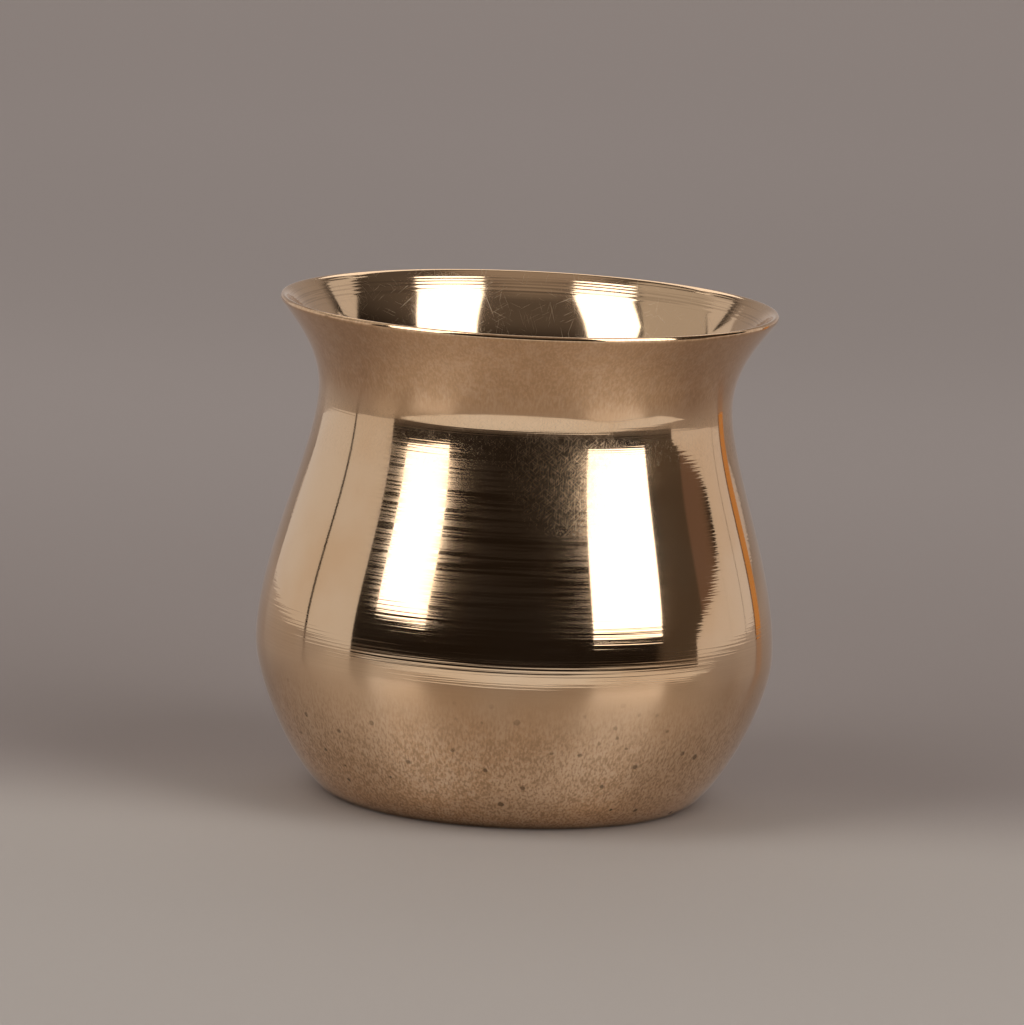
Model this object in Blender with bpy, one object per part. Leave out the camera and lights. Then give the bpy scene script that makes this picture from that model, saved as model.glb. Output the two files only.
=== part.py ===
"""Bronze kalash: a small round water pot with a full belly, a drawn-in neck and a flared mouth.

The pot is made of three turned shells that nest in one another with stepped joints and are brazed:
a lower bowl, a shoulder and a flared mouth. Lengths are in metres, +Z is up, and the origin is at
the centre of the foot, on the surface that the pot stands on.
"""

from math import cos, pi, radians, sin, tau

import bmesh
import bpy
from mathutils import Vector
from mathutils.geometry import interpolate_bezier

# Outer shape: three stages, one above the other
BOWL_HEIGHT = 0.0245
SHOULDER_HEIGHT = 0.0402
MOUTH_HEIGHT = 0.0153
FOOT_RADIUS = 0.0288
BELLY_RADIUS = 0.0416
NECK_RADIUS = 0.0332
MOUTH_RADIUS = 0.0399
FOOT_RISE = radians(20.1)
MOUTH_FLARE = radians(37.2)

# How far each curve runs on along its end tangents, in shares of its stage's height
FOOT_FULLNESS = 0.229
BELLY_FULLNESS_BELOW = 0.291
BELLY_FULLNESS_ABOVE = 0.347
NECK_FULLNESS_BELOW = 0.240
NECK_FULLNESS_ABOVE = 0.401
MOUTH_FULLNESS = 0.325

# Walls and foot
WALL = 0.0020
LIP_THICKNESS = 0.0012
FLOOR_THICKNESS = 0.0026
FLOOR_FILLET = 0.0012
FOOT_RING_WIDTH = 0.0060
FOOT_RECESS = 0.0005

# Brazed joints: a spigot on the upper piece drops into a socket in the lower one
JOINT_DEPTH = 0.0025
JOINT_GAP = 0.0003

# Smoothness of the turned surfaces
TURN_STEPS = 64
CURVE_POINTS = 12
MOUTH_CURVE_POINTS = 9
LIP_ARC_POINTS = 6
SHARP_ANGLE = radians(32)
MERGE_DISTANCE = 1e-6

# Polished bronze
BRONZE_COLOUR = (0.85, 0.62, 0.41, 1.0)
BRONZE_ROUGHNESS = 0.16

BELLY_LEVEL = BOWL_HEIGHT
NECK_LEVEL = BELLY_LEVEL + SHOULDER_HEIGHT
LIP_LEVEL = NECK_LEVEL + MOUTH_HEIGHT


def point(radius, height):
    """A point of a turned section: radius along X, height along Z."""
    return Vector((radius, 0.0, height))


def curve(start, start_pull, end_pull, end, count):
    """Points of one smooth stretch of the section, both ends included."""
    return interpolate_bezier(start, start + start_pull, end + end_pull, end, count)


def outer_bowl():
    foot = point(FOOT_RADIUS, 0.0)
    belly = point(BELLY_RADIUS, BELLY_LEVEL)
    foot_pull = point(cos(FOOT_RISE), sin(FOOT_RISE)) * FOOT_FULLNESS * BOWL_HEIGHT
    belly_pull = point(0.0, -BELLY_FULLNESS_BELOW * BOWL_HEIGHT)
    return curve(foot, foot_pull, belly_pull, belly, CURVE_POINTS)


def outer_shoulder():
    belly = point(BELLY_RADIUS, BELLY_LEVEL)
    neck = point(NECK_RADIUS, NECK_LEVEL)
    belly_pull = point(0.0, BELLY_FULLNESS_ABOVE * SHOULDER_HEIGHT)
    neck_pull = point(0.0, -NECK_FULLNESS_BELOW * SHOULDER_HEIGHT)
    return curve(belly, belly_pull, neck_pull, neck, CURVE_POINTS)


def lip_centre():
    """Centre of the rounded lip, in the section."""
    return point(MOUTH_RADIUS - LIP_THICKNESS / 2, LIP_LEVEL - LIP_THICKNESS / 2)


def outer_mouth():
    neck = point(NECK_RADIUS, NECK_LEVEL)
    edge = lip_centre() + point(cos(MOUTH_FLARE), -sin(MOUTH_FLARE)) * LIP_THICKNESS / 2
    neck_pull = point(0.0, NECK_FULLNESS_ABOVE * MOUTH_HEIGHT)
    edge_pull = -point(sin(MOUTH_FLARE), cos(MOUTH_FLARE)) * MOUTH_FULLNESS * MOUTH_HEIGHT
    return curve(neck, neck_pull, edge_pull, edge, MOUTH_CURVE_POINTS)


def lip_arc():
    """The rounded lip, from the outer side over the top, without the two ends."""
    centre = lip_centre()
    turns = [pi * step / LIP_ARC_POINTS - MOUTH_FLARE for step in range(1, LIP_ARC_POINTS)]
    return [centre + point(cos(turn), sin(turn)) * LIP_THICKNESS / 2 for turn in turns]


def inner_side(outer, first_tangent, last_tangent, first_wall, last_wall):
    """Offsets an outer stretch inwards, with a wall that changes steadily along it."""
    inner = []
    last = len(outer) - 1
    for index, place in enumerate(outer):
        if index == 0:
            tangent = first_tangent
        elif index == last:
            tangent = last_tangent
        else:
            tangent = outer[index + 1] - outer[index - 1]
        tangent = tangent.normalized()
        wall = first_wall + (last_wall - first_wall) * index / last
        inner.append(place + point(-tangent.z, tangent.x) * wall)
    return inner


def level_on(stretch, height):
    """The point of a rising stretch at a given height."""
    for below, above in zip(stretch, stretch[1:]):
        if below.z <= height <= above.z:
            return below.lerp(above, (height - below.z) / (above.z - below.z))
    return stretch[-1] if height > stretch[-1].z else stretch[0]


def between(stretch, low, high):
    """The points of a rising stretch from one height to another, cut exactly at both."""
    inside = [place for place in stretch if low < place.z < high]
    return [level_on(stretch, low), *inside, level_on(stretch, high)]


UP = point(0.0, 1.0)
FOOT_TANGENT = point(cos(FOOT_RISE), sin(FOOT_RISE))
LIP_TANGENT = point(sin(MOUTH_FLARE), cos(MOUTH_FLARE))

BOWL_OUTSIDE = outer_bowl()
SHOULDER_OUTSIDE = outer_shoulder()
MOUTH_OUTSIDE = outer_mouth()
BOWL_INSIDE = inner_side(BOWL_OUTSIDE, FOOT_TANGENT, UP, WALL, WALL)
SHOULDER_INSIDE = inner_side(SHOULDER_OUTSIDE, UP, UP, WALL, WALL)
MOUTH_INSIDE = inner_side(MOUTH_OUTSIDE, UP, LIP_TANGENT, WALL, LIP_THICKNESS)


def socket(radius, level, inside):
    """The stepped top edge of a lower piece, from its outer side to its inner side."""
    middle = radius - WALL / 2 + JOINT_GAP / 2
    ledge = level - JOINT_DEPTH - JOINT_GAP / 2
    return [
        point(radius, level - JOINT_GAP / 2),
        point(middle, level - JOINT_GAP / 2),
        point(middle, ledge),
        level_on(inside, ledge),
    ]


def spigot(radius, level, inside_below):
    """The stepped bottom edge of an upper piece, from its inner side to its outer side."""
    middle = radius - WALL / 2 - JOINT_GAP / 2
    tip = level - JOINT_DEPTH + JOINT_GAP / 2
    return [
        point(radius - WALL, level),
        *reversed(between(inside_below, tip, level)[:-1]),
        point(middle, tip),
        point(middle, level + JOINT_GAP / 2),
        point(radius, level + JOINT_GAP / 2),
    ]


def turn(name, section, closed):
    """Spins a section round the pot's axis into one solid and names its object."""
    mesh_data = bmesh.new()
    ring = [mesh_data.verts.new(place) for place in section]
    pairs = list(zip(ring, ring[1:]))
    if closed:
        pairs.append((ring[-1], ring[0]))
    edges = [mesh_data.edges.new(pair) for pair in pairs]
    bmesh.ops.spin(
        mesh_data,
        geom=ring + edges,
        cent=(0.0, 0.0, 0.0),
        axis=(0.0, 0.0, 1.0),
        angle=tau,
        steps=TURN_STEPS,
        use_merge=True,
    )
    bmesh.ops.remove_doubles(mesh_data, verts=mesh_data.verts, dist=MERGE_DISTANCE)
    bmesh.ops.recalc_face_normals(mesh_data, faces=mesh_data.faces)
    mesh = bpy.data.meshes.new(name)
    mesh_data.to_mesh(mesh)
    mesh_data.free()
    mesh.shade_smooth()
    mesh.set_sharp_from_angle(angle=SHARP_ANGLE)
    mesh.materials.append(polished_bronze(name + "_bronze"))
    piece = bpy.data.objects.new(name, mesh)
    bpy.context.scene.collection.objects.link(piece)
    return piece


def polished_bronze(name):
    material = bpy.data.materials.new(name)
    material.use_nodes = True
    shader = material.node_tree.nodes["Principled BSDF"]
    shader.inputs["Base Color"].default_value = BRONZE_COLOUR
    shader.inputs["Metallic"].default_value = 1.0
    shader.inputs["Roughness"].default_value = BRONZE_ROUGHNESS
    return material


def make_lower_bowl():
    recess_edge = FOOT_RADIUS - FOOT_RING_WIDTH
    seam = BELLY_LEVEL - JOINT_GAP / 2
    stepped_edge = socket(BELLY_RADIUS, BELLY_LEVEL, BOWL_INSIDE)
    ledge = stepped_edge[-1].z
    wall_inside = between(BOWL_INSIDE, FLOOR_THICKNESS + FLOOR_FILLET, ledge)
    floor_corner = point(wall_inside[0].x - FLOOR_FILLET, FLOOR_THICKNESS)
    section = [
        point(0.0, FOOT_RECESS),
        point(recess_edge - FOOT_RECESS, FOOT_RECESS),
        point(recess_edge, 0.0),
        *between(BOWL_OUTSIDE, 0.0, seam)[:-1],
        *stepped_edge,
        *reversed(wall_inside[:-1]),
        floor_corner,
        point(0.0, FLOOR_THICKNESS),
    ]
    return turn("lower_bowl", section, closed=False)


def make_shoulder():
    base = BELLY_LEVEL + JOINT_GAP / 2
    top = NECK_LEVEL - JOINT_GAP / 2
    lower_edge = spigot(BELLY_RADIUS, BELLY_LEVEL, BOWL_INSIDE)
    upper_edge = socket(NECK_RADIUS, NECK_LEVEL, SHOULDER_INSIDE)
    ledge = upper_edge[-1].z
    section = [
        *lower_edge,
        *between(SHOULDER_OUTSIDE, base, top)[1:-1],
        *upper_edge,
        *reversed(between(SHOULDER_INSIDE, BELLY_LEVEL, ledge)[1:-1]),
    ]
    return turn("shoulder", section, closed=True)


def make_flared_mouth():
    base = NECK_LEVEL + JOINT_GAP / 2
    section = [
        *spigot(NECK_RADIUS, NECK_LEVEL, SHOULDER_INSIDE),
        *between(MOUTH_OUTSIDE, base, MOUTH_OUTSIDE[-1].z)[1:],
        *lip_arc(),
        *reversed(MOUTH_INSIDE[1:]),
    ]
    return turn("flared_mouth", section, closed=True)


def main():
    for old in list(bpy.data.objects):
        bpy.data.objects.remove(old, do_unlink=True)
    make_lower_bowl()
    make_shoulder()
    make_flared_mouth()


main()
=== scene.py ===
"""A polished bronze kalash on a plain pale floor, in soft studio light.

Lengths are in metres. The pot stands on z = 0 with its turning axis on Z. The camera is on the -Y
side.
"""

from math import cos, pi, radians, sin, tau

import bmesh
import bpy
from mathutils import Matrix, Vector
from mathutils.geometry import interpolate_bezier


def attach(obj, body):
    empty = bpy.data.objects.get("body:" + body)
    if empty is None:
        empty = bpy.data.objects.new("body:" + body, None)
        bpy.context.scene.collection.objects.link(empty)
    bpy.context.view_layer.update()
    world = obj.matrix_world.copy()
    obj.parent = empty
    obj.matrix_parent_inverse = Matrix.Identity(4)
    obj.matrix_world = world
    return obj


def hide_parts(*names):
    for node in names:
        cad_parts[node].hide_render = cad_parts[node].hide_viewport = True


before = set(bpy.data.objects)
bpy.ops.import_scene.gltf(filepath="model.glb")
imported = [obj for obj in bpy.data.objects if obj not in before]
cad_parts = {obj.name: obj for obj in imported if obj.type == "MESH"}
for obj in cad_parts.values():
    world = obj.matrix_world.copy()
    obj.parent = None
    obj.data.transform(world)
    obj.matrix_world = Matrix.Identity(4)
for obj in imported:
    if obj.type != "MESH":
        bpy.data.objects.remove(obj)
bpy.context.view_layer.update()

# Outline of the pot: the same turned section as the solids
BELLY_LEVEL = 0.0245
NECK_LEVEL = 0.0647
LIP_LEVEL = 0.0800
FOOT_RADIUS = 0.0288
BELLY_RADIUS = 0.0416
NECK_RADIUS = 0.0332
MOUTH_RADIUS = 0.0399
FOOT_RISE = radians(20.1)
MOUTH_FLARE = radians(37.2)
FOOT_PULL = 0.00561
BELLY_PULL_BELOW = 0.00713
BELLY_PULL_ABOVE = 0.01395
NECK_PULL_BELOW = 0.00965
NECK_PULL_ABOVE = 0.00614
MOUTH_PULL = 0.00497
WALL = 0.0020
LIP_THICKNESS = 0.0012
LIP_ROUNDING_INSIDE = 0.0013
FLOOR_THICKNESS = 0.0026
FLOOR_FILLET = 0.0012
FLOOR_FILLET_REACH = 1.4
FOOT_RING_WIDTH = 0.0060
FOOT_RECESS = 0.0005

# Turned ridges inside the mouth, below the lip
RIDGE_DEPTHS = (0.0011, 0.0015, 0.0019, 0.0024, 0.0030)
RIDGE_HEIGHT = 0.000010
RIDGE_WIDTH = 0.00024

# Fineness of the turned meshes
TURN_STEPS = 256
WALL_POINTS = 90
MOUTH_POINTS = 150
LIP_POINTS = 20
SHARP_ANGLE = radians(40)
MERGE_DISTANCE = 1e-7

# Zones of the finish, in millimetres: where each starts, is full, starts to fade and is gone
BELT = (20.0, 27.0, 58.0, 66.0)
NECK = (54.0, 60.0, 64.0, 67.0)
FRINGE = (21.0, 26.0, 32.0, 43.0)
BRIM = (75.8, 77.2, 79.0, 79.5)
COARSE_STRIP = (-25.0, -19.0, 6.0, 13.0)
LOWER_BOWL = (9.0, 25.0)
FLARE = (65.0, 69.0)
SCRATCHED_ABOVE = (4.0, 10.0)
RUBBED_PLACE = (7.5, -33.3, 56.0)

# Marks on the bronze, with a painted reflection of a speckled floor, and its colours
MICROMETRE = 1e-6
MEAN_RADIUS_MM = 36.0
SCRATCH_TURNS = (0.4, 1.2, 1.8, 2.7)
HAZE_TURNS = (0.7, 1.5, 2.5)
GROOVE_ROUGHNESS = 0.115
GROOVE_STRETCH = 0.92
WORN_ROUGHNESS = 0.29
WARM_BRONZE = (0.83, 0.545, 0.318, 1.0)
PALE_BRONZE = (0.87, 0.61, 0.387, 1.0)
# Speckle colours low on the bowl and on the flare: partly tarnish, partly a painted reflection of
# a speckled, lit floor
BRIGHT_GRAIN_AND_REFLECTION = (1.0, 0.73, 0.49, 1.0)
DULL_TARNISH_AND_REFLECTION = (0.55, 0.365, 0.22, 1.0)
DARK_PIT = (0.24, 0.155, 0.09, 1.0)
FLARE_OUTSIDE = (0.79, 0.50, 0.28, 1.0)
FLARE_INSIDE = (0.85, 0.58, 0.355, 1.0)

# Stage
FLOOR_RADIUS = 5.0
FLOOR_COLOUR = (0.395, 0.338, 0.292, 1.0)
# Painted shade for the floor beside and behind the pot
SHADED_FLOOR_COLOUR = (0.29, 0.236, 0.209, 1.0)
FAR_FLOOR_COLOUR = (0.475, 0.402, 0.367, 1.0)
BACKDROP_COLOUR = (0.585, 0.50, 0.463, 1.0)
ROOM_DARK = (0.012, 0.009, 0.007, 1.0)
ROOM_RIGHT = (0.070, 0.058, 0.048, 1.0)
ROOM_RIGHT_BROWN = (0.14, 0.098, 0.082, 1.0)
ROOM_ABOVE = (0.09, 0.08, 0.074, 1.0)
ROOM_CEILING = (0.30, 0.27, 0.25, 1.0)
WALL_FOOT_COLOUR = (0.47, 0.43, 0.41, 1.0)
WALL_COLOUR = (0.32, 0.295, 0.285, 1.0)
WALL_TOP_COLOUR = (0.13, 0.115, 0.105, 1.0)
ROOM_SEEN = (0.36, 0.33, 0.31, 1.0)
POT_MIDDLE = Vector((0.0, 0.0, 0.045))
SOFTBOX_DISTANCE = 0.62
FLAT_DISTANCE = 0.75
WOOD_DISTANCE = 0.40
TABLE_LEVEL = 0.001

# Camera, fitted to the photograph of 1024 x 1025 pixels
IMAGE_HEIGHT_PIXELS = 1025
FOCAL_LENGTH_PIXELS = 7918.6
SENSOR_MM = 36.0
CAMERA_PLACE = Vector((0.0, -1.2549, 0.2467))
CAMERA_PAN = radians(-0.0604)
CAMERA_TILT = radians(9.094)
CAMERA_ROLL = radians(2.691)


def point(radius, height):
    """A point of the turned section: radius along X, height along Z."""
    return Vector((radius, 0.0, height))


def curve(start, start_pull, end_pull, end, count):
    return interpolate_bezier(start, start + start_pull, end + end_pull, end, count)


def bowl_outside():
    foot = point(FOOT_RADIUS, 0.0)
    belly = point(BELLY_RADIUS, BELLY_LEVEL)
    foot_pull = point(cos(FOOT_RISE), sin(FOOT_RISE)) * FOOT_PULL
    return curve(foot, foot_pull, point(0.0, -BELLY_PULL_BELOW), belly, WALL_POINTS)


def shoulder_outside():
    belly = point(BELLY_RADIUS, BELLY_LEVEL)
    neck = point(NECK_RADIUS, NECK_LEVEL)
    belly_pull = point(0.0, BELLY_PULL_ABOVE)
    neck_pull = point(0.0, -NECK_PULL_BELOW)
    return curve(belly, belly_pull, neck_pull, neck, WALL_POINTS)


def lip_centre():
    return point(MOUTH_RADIUS - LIP_THICKNESS / 2, LIP_LEVEL - LIP_THICKNESS / 2)


def mouth_outside():
    neck = point(NECK_RADIUS, NECK_LEVEL)
    edge = lip_centre() + point(cos(MOUTH_FLARE), -sin(MOUTH_FLARE)) * LIP_THICKNESS / 2
    edge_pull = -point(sin(MOUTH_FLARE), cos(MOUTH_FLARE)) * MOUTH_PULL
    return curve(neck, point(0.0, NECK_PULL_ABOVE), edge_pull, edge, MOUTH_POINTS)


def inner_side(outer, first_wall, last_wall):
    """Offsets an outer stretch inwards, with a wall that changes steadily along it."""
    inner = []
    last = len(outer) - 1
    for index, place in enumerate(outer):
        tangent = (outer[min(index + 1, last)] - outer[max(index - 1, 0)]).normalized()
        wall = first_wall + (last_wall - first_wall) * index / last
        inner.append(place + point(-tangent.z, tangent.x) * wall)
    return inner


def ridged(inner):
    """Raises the turned ridges on the inner side of the mouth."""
    shaped = []
    for place in inner:
        depth = LIP_LEVEL - place.z
        rise = sum(RIDGE_HEIGHT * ridge_rise(depth - ridge) for ridge in RIDGE_DEPTHS)
        shaped.append(place - point(rise, 0.0))
    return shaped


def ridge_rise(offset):
    if abs(offset) > RIDGE_WIDTH:
        return 0.0
    return (1 + cos(pi * offset / RIDGE_WIDTH)) / 2


def turned(name, section, closed):
    """Spins a section round the pot's axis into one closed shell."""
    shell = bmesh.new()
    ring = [shell.verts.new(place) for place in section]
    pairs = list(zip(ring, ring[1:]))
    if closed:
        pairs.append((ring[-1], ring[0]))
    edges = [shell.edges.new(pair) for pair in pairs]
    bmesh.ops.spin(
        shell,
        geom=ring + edges,
        cent=(0.0, 0.0, 0.0),
        axis=(0.0, 0.0, 1.0),
        angle=tau,
        steps=TURN_STEPS,
        use_merge=True,
    )
    bmesh.ops.remove_doubles(shell, verts=shell.verts, dist=MERGE_DISTANCE)
    bmesh.ops.recalc_face_normals(shell, faces=shell.faces)
    mesh = bpy.data.meshes.new(name)
    shell.to_mesh(mesh)
    shell.free()
    mesh.shade_smooth()
    mesh.set_sharp_from_angle(angle=SHARP_ANGLE)
    piece = bpy.data.objects.new(name, mesh)
    bpy.context.scene.collection.objects.link(piece)
    return piece


def bowl_section():
    outside = bowl_outside()
    inside = inner_side(outside, WALL, WALL)
    wall_inside = [place for place in inside if place.z > FLOOR_THICKNESS + FLOOR_FILLET]
    recess_edge = FOOT_RADIUS - FOOT_RING_WIDTH
    floor_edge = wall_inside[0].x - FLOOR_FILLET * FLOOR_FILLET_REACH
    floor_rings = [floor_edge * share for share in (1.0, 0.75, 0.5, 0.25)]
    return [
        point(0.0, FOOT_RECESS),
        point(recess_edge * 0.5, FOOT_RECESS),
        point(recess_edge - FOOT_RECESS, FOOT_RECESS),
        point(recess_edge, 0.0),
        *outside,
        *reversed(wall_inside),
        *[point(radius, FLOOR_THICKNESS) for radius in floor_rings],
        point(0.0, FLOOR_THICKNESS),
    ]


def shoulder_section():
    outside = shoulder_outside()
    return [*outside, *reversed(inner_side(outside, WALL, WALL))]


def lip_over():
    """The lip from its outer side over the top: round outside, drawn out along the wall inside."""
    half = LIP_THICKNESS / 2
    up_wall = point(sin(MOUTH_FLARE), cos(MOUTH_FLARE))
    outwards = point(cos(MOUTH_FLARE), -sin(MOUTH_FLARE))
    inner_centre = lip_centre() - up_wall * (LIP_ROUNDING_INSIDE - half)
    places = []
    for step in range(1, 2 * LIP_POINTS):
        turn = pi / 2 * step / LIP_POINTS
        if step < LIP_POINTS:
            centre, rise = lip_centre(), half
        else:
            centre, rise = inner_centre, LIP_ROUNDING_INSIDE
        places.append(centre + outwards * half * cos(turn) + up_wall * rise * sin(turn))
    return places


def mouth_section():
    outside = mouth_outside()
    lip = lip_over()
    inside = [place for place in inner_side(outside, WALL, LIP_THICKNESS) if place.z < lip[-1].z]
    return [*outside, *lip, *reversed(ridged(inside))]


class Wire:
    """One output in a node tree. Sums on wires add Math nodes to the same tree."""

    def __init__(self, tree, socket=None):
        self.tree = tree
        self.socket = socket

    def node(self, kind, settings=None, sockets=None, out=0):
        """Adds a node: settings first, then its sockets' values or links. Gives one output."""
        made = self.tree.nodes.new(kind)
        for name, value in (settings or {}).items():
            setattr(made, name, value)
        for key, value in (sockets or {}).items():
            if isinstance(value, Wire):
                self.tree.links.new(value.socket, made.inputs[key])
            else:
                made.inputs[key].default_value = value
        return Wire(self.tree, made.outputs[out])

    def sum(self, operation, first, second):
        return self.node("ShaderNodeMath", {"operation": operation}, {0: first, 1: second})

    def __add__(self, other):
        return self.sum("ADD", self, other)

    def __radd__(self, other):
        return self.sum("ADD", other, self)

    def __sub__(self, other):
        return self.sum("SUBTRACT", self, other)

    def __rsub__(self, other):
        return self.sum("SUBTRACT", other, self)

    def __mul__(self, other):
        return self.sum("MULTIPLY", self, other)

    def __rmul__(self, other):
        return self.sum("MULTIPLY", other, self)


def scaled(place, scale):
    """A place in millimetres, stretched by a scale for each axis."""
    return place.node("ShaderNodeVectorMath", {"operation": "MULTIPLY"}, {0: place, 1: scale})


def noise(place, scale, detail=2.0, roughness=0.5):
    vector = scaled(place, scale)
    sockets = {"Vector": vector, "Scale": 1.0, "Detail": detail, "Roughness": roughness}
    return place.node("ShaderNodeTexNoise", None, sockets)


def ramp(value, low, high):
    """A smooth step from 0 at low to 1 at high."""
    settings = {"interpolation_type": "SMOOTHSTEP"}
    sockets = {"Value": value, "From Min": low, "From Max": high}
    return value.node("ShaderNodeMapRange", settings, sockets)


def zone(value, start, full, fading, gone):
    """1 inside a zone, with a smooth start and end."""
    return ramp(value, start, full) * (1.0 - ramp(value, fading, gone))


def blend(factor, first, second):
    """Mixes two colours."""
    return factor.node("ShaderNodeMix", {"data_type": "RGBA"}, {0: factor, 6: first, 7: second}, 2)


def turning_lines(place, lines_per_mm, breaks_per_mm, detail):
    """Noise that changes along the axis and slowly round it, as the marks of turning do."""
    return noise(place, (breaks_per_mm, breaks_per_mm, lines_per_mm), detail)


def scratches(place, turns, length, low, high):
    """Fine straight scratches in a few directions, of about one length in millimetres."""
    marks = 0.0
    for turn in turns:
        sockets = {"Vector": place, "Rotation": (0.0, 0.0, turn)}
        turned_place = place.node("ShaderNodeMapping", None, sockets)
        marks = marks + ramp(noise(turned_place, (1.0 / length, 6.0, 1.0), 1.0), low, high)
    return marks


def near(place, centre, inner, outer):
    """1 within a distance of a place in millimetres, falling to 0 further out."""
    away = place.node("ShaderNodeVectorMath", {"operation": "DISTANCE"}, {0: place, 1: centre}, 1)
    return 1.0 - ramp(away, inner, outer)


def new_material(name):
    """An empty node material, with the start of its node tree."""
    material = bpy.data.materials.new(name)
    material.use_nodes = True
    material.node_tree.nodes.remove(material.node_tree.nodes["Principled BSDF"])
    return material, Wire(material.node_tree)


def show(material, surface):
    tree = material.node_tree
    tree.links.new(surface.socket, tree.nodes["Material Output"].inputs["Surface"])
    return material


def millimetres(start):
    """The place on the piece in millimetres."""
    metres = start.node("ShaderNodeTexCoord", None, None, "Object")
    return scaled(metres, (1000.0, 1000.0, 1000.0))


def bronze(name, polish, groove_share, scratch_share, speckle_and_reflection_share, flare_colour):
    """Turned and polished bronze: a mirror, with some light spread by fine grooves and by wear."""
    material, start = new_material(name)
    place = millimetres(start)
    across = start.node("ShaderNodeSeparateXYZ", None, {0: place}, "X")
    along = start.node("ShaderNodeSeparateXYZ", None, {0: place}, "Y")
    height = start.node("ShaderNodeSeparateXYZ", None, {0: place}, "Z")
    angle = start.node("ShaderNodeMath", {"operation": "ARCTAN2"}, {0: across, 1: along})
    unrolled = start.node("ShaderNodeCombineXYZ", None, {0: angle * MEAN_RADIUS_MM, 1: height})

    rows = turning_lines(place, lines_per_mm=3.2, breaks_per_mm=0.03, detail=1.0)
    waves = turning_lines(place, lines_per_mm=0.4, breaks_per_mm=0.015, detail=0.0)
    streaks = turning_lines(place, lines_per_mm=5.2, breaks_per_mm=0.07, detail=0.0)
    patches = noise(place, (0.05, 0.05, 0.05), detail=3.0)
    cloud = noise(place, (0.22, 0.22, 0.22), detail=4.0, roughness=0.6)
    mottle = noise(place, (0.5, 0.5, 0.4), detail=3.0, roughness=0.6)
    fine_grain_and_reflection = noise(place, (2.8, 2.8, 0.8), detail=2.0, roughness=0.6)

    belt = zone(height, *BELT)
    neck = zone(height, *NECK)
    fringe = zone(height, *FRINGE)
    brim = zone(height, *BRIM)
    coarse = zone(across, *COARSE_STRIP)
    low = 1.0 - ramp(height, *LOWER_BOWL)
    flare = ramp(height, *FLARE)

    scratch = scratches(unrolled, SCRATCH_TURNS, length=5.0, low=0.67, high=0.73)
    scratch = scratch * ramp(height, *SCRATCHED_ABOVE)
    haze = scratches(unrolled, HAZE_TURNS, length=1.6, low=0.53, high=0.70)
    rubbed = near(place, RUBBED_PLACE, inner=2.0, outer=13.0) * (0.35 + haze)
    rubbed = rubbed + neck * (0.04 + haze * 0.35)
    pit = start.node("ShaderNodeTexVoronoi", None, {"Vector": place, "Scale": 0.28}, "Distance")
    pit = 1.0 - ramp(pit + mottle * 0.35, 0.24, 0.32)

    grooves = belt * (0.08 + coarse) * (0.12 + ramp(streaks, 0.40, 0.57) * 0.88)
    spread = groove_share * (0.025 + grooves * (0.5 + patches))
    worn_share = scratch * scratch_share + rubbed * 0.42 + pit * low * 0.4
    roughness = polish + cloud * 0.035 + low * 0.03 + flare * 0.02

    colour = blend(ramp(patches, 0.38, 0.66), WARM_BRONZE, PALE_BRONZE)
    colour = blend(flare, colour, flare_colour)
    # Painted reflection of a speckled, lit floor over real tarnish speckle, low on the bowl and on
    # the flare
    speckle_and_reflection = (low * 0.85 + flare * 0.3) * speckle_and_reflection_share
    colour = blend(speckle_and_reflection * (1.0 - ramp(mottle, 0.38, 0.52)) * 0.7, colour, BRIGHT_GRAIN_AND_REFLECTION)
    colour = blend(speckle_and_reflection * ramp(mottle, 0.52, 0.66) * 0.5, colour, DULL_TARNISH_AND_REFLECTION)
    colour = blend(speckle_and_reflection * ramp(fine_grain_and_reflection, 0.49, 0.62), colour, DULL_TARNISH_AND_REFLECTION)
    colour = blend(speckle_and_reflection * (1.0 - ramp(fine_grain_and_reflection, 0.36, 0.49)), colour, BRIGHT_GRAIN_AND_REFLECTION)
    colour = blend(pit * (0.02 + low * 0.85), colour, DARK_PIT)
    brim_lines = brim * ramp(rows, 0.50, 0.60)
    colour = blend(brim_lines * (0.5 * (1.0 - speckle_and_reflection_share)), colour, DULL_TARNISH_AND_REFLECTION)

    relief = rows * (2.0 + belt * 7.5 + fringe * 6.0 + neck * 5.0) + waves * 6.0
    relief = relief - scratch * (0.5 * scratch_share)
    heights = {"Strength": 1.0, "Distance": MICROMETRE, "Height": relief}
    bump = start.node("ShaderNodeBump", None, heights)

    finish = {"Base Color": colour, "Metallic": 1.0, "Normal": bump}
    mirror = start.node("ShaderNodeBsdfPrincipled", None, finish | {"Roughness": roughness})
    sideways = {"Roughness": GROOVE_ROUGHNESS, "Anisotropic": GROOVE_STRETCH}
    grooved = start.node("ShaderNodeBsdfPrincipled", None, finish | sideways)
    worn = start.node("ShaderNodeBsdfPrincipled", None, finish | {"Roughness": WORN_ROUGHNESS})
    turned_finish = start.node("ShaderNodeMixShader", None, {0: spread, 1: mirror, 2: grooved})
    used_finish = {0: worn_share, 1: turned_finish, 2: worn}
    return show(material, start.node("ShaderNodeMixShader", None, used_finish))


def finish_faces(piece, outside, inside):
    """Gives the outer side of a shell one finish and its inner side another."""
    mesh = piece.data
    mesh.materials.append(outside)
    mesh.materials.append(inside)
    for face in mesh.polygons:
        outward = Vector((face.center.x, face.center.y, 0.0)).normalized()
        is_inner_wall = face.normal.dot(outward) < -0.02
        is_floor = face.normal.z > 0.9 and face.center.z < NECK_LEVEL
        face.material_index = 1 if is_inner_wall or is_floor else 0


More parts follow.
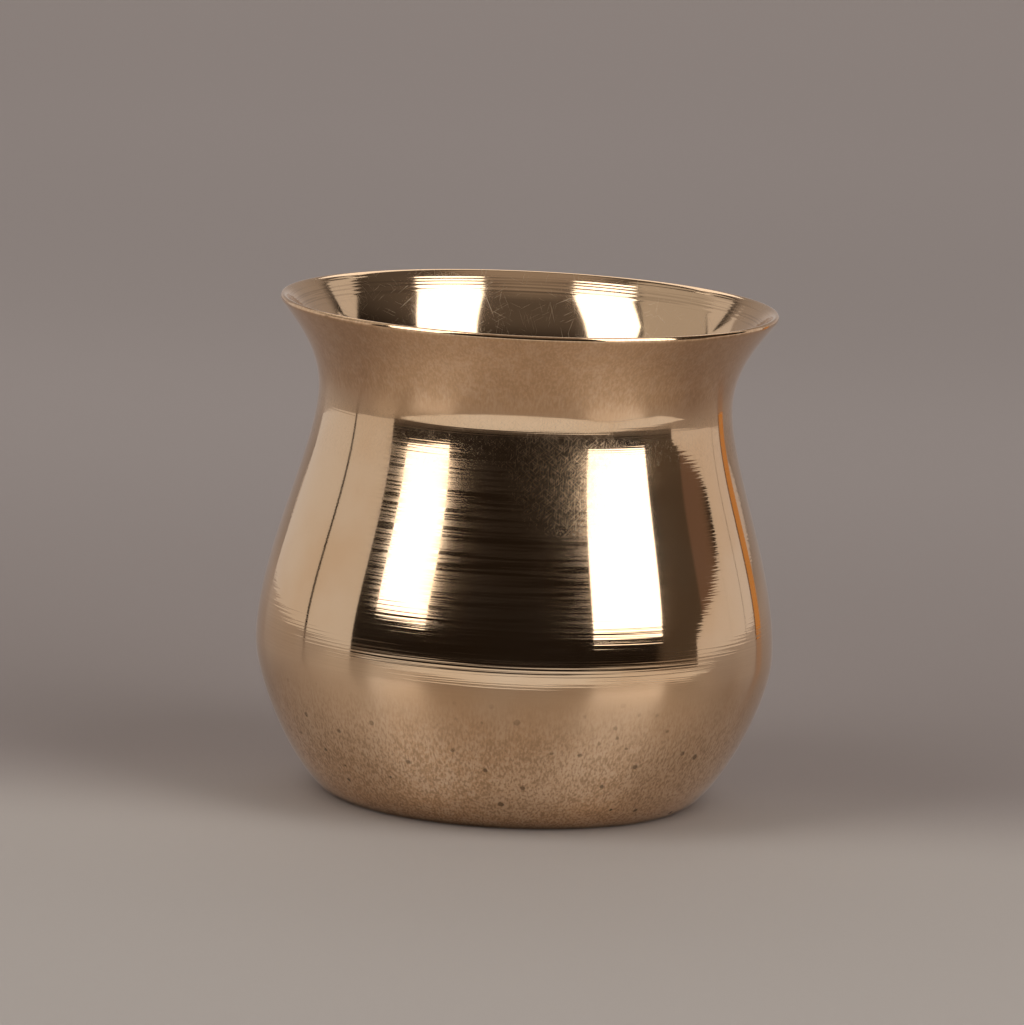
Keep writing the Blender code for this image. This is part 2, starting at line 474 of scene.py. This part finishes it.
def make_pot():
    outside = bronze(
        "bronze_polished_outside",
        polish=0.035,
        groove_share=1.0,
        scratch_share=0.03,
        speckle_and_reflection_share=1.0,
        flare_colour=FLARE_OUTSIDE,
    )
    inside = bronze(
        "bronze_worn_inside",
        polish=0.04,
        groove_share=0.6,
        scratch_share=0.32,
        speckle_and_reflection_share=0.0,
        flare_colour=FLARE_INSIDE,
    )
    sections = {
        "lower_bowl": (bowl_section(), False),
        "shoulder": (shoulder_section(), True),
        "flared_mouth": (mouth_section(), True),
    }
    for node, (section, closed) in sections.items():
        piece = turned("kalash_" + node, section, closed)
        finish_faces(piece, outside, inside)
        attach(piece, "root")
        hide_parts(node)


def pale_floor(name):
    """A matt floor to the eye, with painted shade beside and behind the pot. The pot also mirrors
    its soft shine.
    """
    material, start = new_material(name)
    along = start.node("ShaderNodeSeparateXYZ", None, {0: millimetres(start)}, "Y")
    # Painted shade: the floor is darker beside and behind the pot
    colour = blend(ramp(along, -45.0, 30.0), FLOOR_COLOUR, SHADED_FLOOR_COLOUR)
    colour = blend(ramp(along, 60.0, 500.0), colour, FAR_FLOOR_COLOUR)
    colour = blend(ramp(along, 450.0, 1000.0), colour, BACKDROP_COLOUR)
    matt_finish = {"Base Color": colour, "Roughness": 0.75, "Specular IOR Level": 0.2}
    shiny_finish = {"Base Color": colour, "Roughness": 0.34, "Specular IOR Level": 0.6}
    matt = start.node("ShaderNodeBsdfPrincipled", None, matt_finish)
    shiny = start.node("ShaderNodeBsdfPrincipled", None, shiny_finish)
    rays = start.node("ShaderNodeLightPath", None, None, "Is Camera Ray")
    return show(material, start.node("ShaderNodeMixShader", None, {0: rays, 1: shiny, 2: matt}))


def glow(name, colour):
    """An even glow, for the cards that the pot mirrors."""
    material, start = new_material(name)
    return show(material, start.node("ShaderNodeEmission", None, {"Color": colour}))


def stage_piece(name, shape, material):
    mesh = bpy.data.meshes.new(name)
    shape.to_mesh(mesh)
    shape.free()
    mesh.materials.append(material)
    piece = bpy.data.objects.new(name, mesh)
    bpy.context.scene.collection.objects.link(piece)
    return piece


def make_floor():
    shape = bmesh.new()
    bmesh.ops.create_circle(shape, cap_ends=True, radius=FLOOR_RADIUS, segments=96)
    stage_piece("floor", shape, pale_floor("pale_floor"))


def seen_from_pot(azimuth, elevation):
    """A direction from the pot: 0 azimuth is towards the camera, 90 to its right."""
    side, rise = radians(azimuth), radians(elevation)
    return Vector((sin(side) * cos(rise), -cos(side) * cos(rise), sin(rise)))


def panel(name, outline, distance, material):
    """A flat panel facing the pot. Its outline lists azimuths and elevations seen from the pot."""
    corners = [seen_from_pot(*corner) for corner in outline]
    facing = sum(corners, Vector()).normalized()
    shape = bmesh.new()
    places = [POT_MIDDLE + corner * (distance / corner.dot(facing)) for corner in corners]
    shape.faces.new([shape.verts.new(place) for place in places])
    return mirrored(stage_piece(name, shape, material))


def upright(left, right, low, high):
    """The outline of a panel with upright sides."""
    return (left, low), (right, low), (right, high), (left, high)


def floor_panel(name, outline, level, material):
    """A card that lies over the floor. Its outline is a list of places in millimetres."""
    shape = bmesh.new()
    shape.faces.new([shape.verts.new((x / 1000, y / 1000, level)) for x, y in outline])
    mirrored(stage_piece(name, shape, material)).visible_diffuse = False


def mirrored(piece):
    """Lets the pot mirror a piece that the camera doesn't see and that casts no shadow."""
    piece.visible_camera = False
    piece.visible_shadow = False
    return piece


def lamp(name, place, width, height, brightness):
    light = bpy.data.lights.new(name, "AREA")
    light.shape = "RECTANGLE"
    light.size = width
    light.size_y = height
    light.energy = brightness * pi * width * height
    light_object = bpy.data.objects.new(name, light)
    light_object.location = place
    light_object.visible_camera = False
    bpy.context.scene.collection.objects.link(light_object)


def make_lights():
    soft_light = glow("soft_light", (3.1, 3.2, 3.35, 1.0))
    left_box = (
        (-64.5, 9.3),
        (-40, 8.8),
        (-38.5, 25),
        (-44.9, 72.5),
        (-88.1, 62.2),
        (-80, 45),
        (-65, 20),
    )
    right_box = ((35, 8.3), (68, 5.9), (73, 30), (94.8, 58.9), (50.6, 72.5), (34, 36))
    panel("softbox_left", left_box, SOFTBOX_DISTANCE, soft_light)
    panel("softbox_right", right_box, SOFTBOX_DISTANCE, soft_light)
    lamp("lamp_behind", (0.0, 1.7, 1.6), width=2.2, height=1.4, brightness=1.1)

    cream = glow("cream_flat", (0.56, 0.55, 0.55, 1.0))
    panel("flat_left_near", upright(-103.5, -75, -8, 26), FLAT_DISTANCE, cream)
    panel("flat_left_far", upright(-145, -105, -8, 26), FLAT_DISTANCE, cream)
    tan_flat = glow("tan_flat", (0.44, 0.43, 0.42, 1.0))
    above_left = ((-72, 28), (-79, 38.5), (-84, 48), (-89, 56), (-92, 66), (-126, 62), (-126, 28))
    panel("flat_left_above", above_left, FLAT_DISTANCE, tan_flat)
    end_left = ((-127.5, 27), (-126, 45), (-135, 45), (-140.5, 34), (-139, 31), (-130, 27))
    panel("flat_left_end", end_left, FLAT_DISTANCE, cream)

    low_cream = glow("cream_flat_low", (0.57, 0.55, 0.55, 1.0))
    low_right = ((87, -9), (111, -9), (111, 8.6), (101, 7), (93, 5.5), (87, 2.2))
    tall_right = ((111, -9), (123.8, -9), (123.8, 25.6), (117, 12), (111, 8.6))
    panel("flat_right_low", low_right, FLAT_DISTANCE, low_cream)
    panel("flat_right_tall", tall_right, FLAT_DISTANCE, low_cream)
    panel("flat_right_far", upright(124.1, 137, -9, 26), FLAT_DISTANCE, low_cream)
    wood_side = glow("wood_side", (0.09, 0.055, 0.035, 1.0))
    wood_edge = glow("wood_edge", (0.48, 0.23, 0.07, 1.0))
    panel("wood_side", upright(131, 132.2, -9, 9), WOOD_DISTANCE, wood_side)
    panel("wood_edge", upright(132.2, 138.6, -9, 9), WOOD_DISTANCE, wood_edge)
    end_right = ((122, 28), (133, 27), (140, 32), (140, 44), (126, 44))
    panel("flat_right_end", end_right, FLAT_DISTANCE, cream)

    white = glow("white_card", (0.67, 0.685, 0.71, 1.0))
    table_front = ((-610, -870), (600, -870), (600, -560), (200, -200), (-610, -200))
    table_right = ((200, -200), (600, -560), (440, -200), (376, -60), (335, 35), (225, -55))
    floor_panel("white_table_front", table_front, TABLE_LEVEL, white)
    white_side = glow("white_card_side", (0.64, 0.63, 0.63, 1.0))
    floor_panel("white_table_right", table_right, TABLE_LEVEL, white_side)


def make_world():
    world = bpy.data.worlds.new("room")
    world.use_nodes = True
    bpy.context.scene.world = world
    tree = world.node_tree
    start = Wire(tree)
    direction = start.node("ShaderNodeTexCoord", None, None, "Generated")
    across = start.node("ShaderNodeSeparateXYZ", None, {0: direction}, "X")
    along = start.node("ShaderNodeSeparateXYZ", None, {0: direction}, "Y")
    up = start.node("ShaderNodeSeparateXYZ", None, {0: direction}, "Z")
    right = ramp(across, 0.90, 0.95)
    front = blend(right, ROOM_DARK, ROOM_RIGHT)
    front = blend(right * ramp(along, 0.06, 0.10), front, ROOM_RIGHT_BROWN)
    front = blend(ramp(up, 0.40, 0.80), front, ROOM_ABOVE)
    front = blend(ramp(up, 0.90, 0.97), front, ROOM_CEILING)
    wall = blend(ramp(up, 0.03, 0.25), WALL_FOOT_COLOUR, WALL_COLOUR)
    wall = blend(ramp(up, 0.30, 0.80), wall, WALL_TOP_COLOUR)
    room = blend(ramp(along, 0.60, 0.72), front, wall)
    rays = start.node("ShaderNodeLightPath", None, None, "Is Camera Ray")
    seen = blend(rays, room, ROOM_SEEN)
    background = tree.nodes["Background"]
    tree.links.new(seen.socket, background.inputs["Color"])
    background.inputs["Strength"].default_value = 1.0


def make_camera():
    lens = bpy.data.cameras.new("camera")
    lens.sensor_width = SENSOR_MM
    lens.lens = FOCAL_LENGTH_PIXELS / IMAGE_HEIGHT_PIXELS * SENSOR_MM
    camera = bpy.data.objects.new("camera", lens)
    pan = Matrix.Rotation(-CAMERA_PAN, 4, "Z")
    tilt = Matrix.Rotation(pi / 2 - CAMERA_TILT, 4, "X")
    roll = Matrix.Rotation(CAMERA_ROLL, 4, "Z")
    camera.matrix_world = Matrix.Translation(CAMERA_PLACE) @ pan @ tilt @ roll
    bpy.context.scene.collection.objects.link(camera)
    bpy.context.scene.camera = camera


make_pot()
make_floor()
make_lights()
make_world()
make_camera()
bpy.context.scene.view_settings.view_transform = "Standard"
